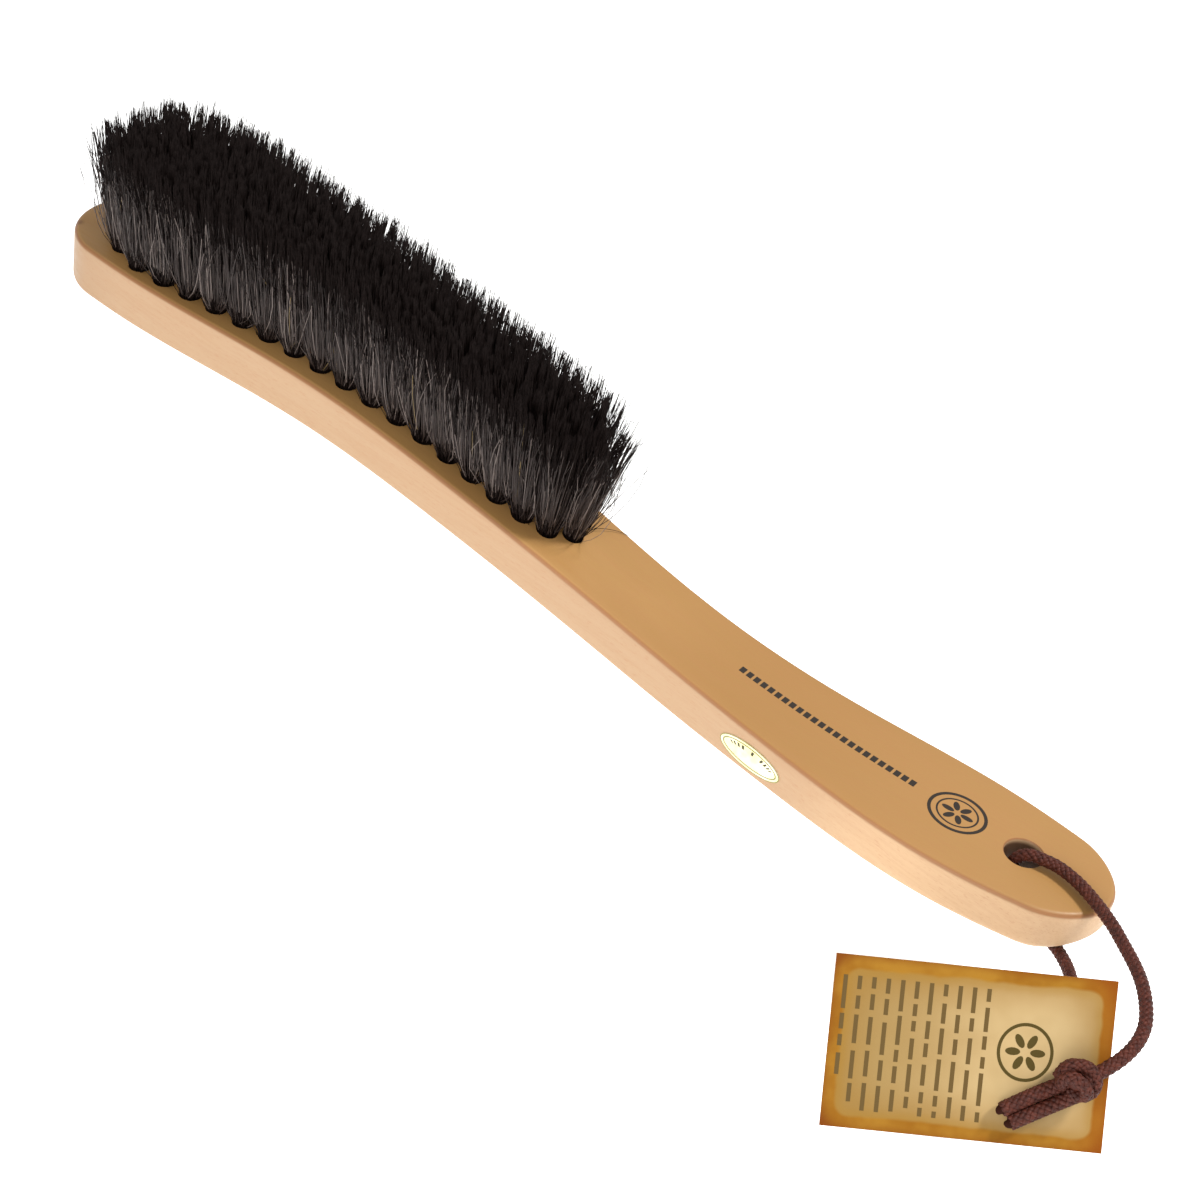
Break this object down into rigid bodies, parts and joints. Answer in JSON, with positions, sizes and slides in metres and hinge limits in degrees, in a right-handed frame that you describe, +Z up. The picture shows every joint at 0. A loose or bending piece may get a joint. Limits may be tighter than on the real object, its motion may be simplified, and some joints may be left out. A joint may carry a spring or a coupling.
{
  "type": "clothes brush",
  "caption": "Long-handled clothes brush: curved wooden stock, rows of dark bristle tufts in drilled holes, an oval side label, and a hang cord with a card tag.",
  "frame": {"origin": "centre of the flat on the back of the belly, where the brush rests", "axes": "+Z up, out of the back through the bristle face; +X along the length from the head to the handle end; +Y across the width, away from the tag"},
  "size_m": [0.326, 0.0979, 0.0484],
  "materials": {
    "wood": "pale beech, satin clear lacquer, fine short flecks along the length",
    "hair": "natural animal hair, near black with grey-brown sheen, trimmed level",
    "foil": "pale gold foil label with a thin dark line inside its edge",
    "cord": "dark red-brown braided cord, matte, ends melted",
    "card": "tan printed card with orange-brown edges, satin"
  },
  "bodies": {
    "brush": {"brush_body": "wood", "tuft_row_01": "hair", "tuft_row_02": "hair", "tuft_row_03": "hair", "tuft_row_04": "hair", "tuft_row_05": "hair", "tuft_row_06": "hair", "tuft_row_07": "hair", "tuft_row_08": "hair", "tuft_row_09": "hair", "tuft_row_10": "hair", "tuft_row_11": "hair", "tuft_row_12": "hair", "tuft_row_13": "hair", "tuft_row_14": "hair", "tuft_row_15": "hair", "tuft_row_16": "hair", "tuft_row_17": "hair", "tuft_row_18": "hair", "tuft_row_19": "hair", "tuft_row_20": "hair", "oval_label": "foil"},
    "cord": {"hang_cord": "cord"},
    "tag": {"hang_tag": "card"}
  },
  "joints": [
    {"name": "cord_swing", "type": "hinge", "parent": "brush", "child": "cord", "pos_m": [0.0705, 0, 0.01636], "axis": [-0.1317, 0, 0.9913], "range_deg": [-40, 140]},
    {"name": "tag_swing", "type": "hinge", "parent": "cord", "child": "tag", "pos_m": [0.1041, -0.0455, 0.0195], "axis": [0.3336, -0.6941, 0.6379], "range_deg": [-15, 80]}
  ]
}
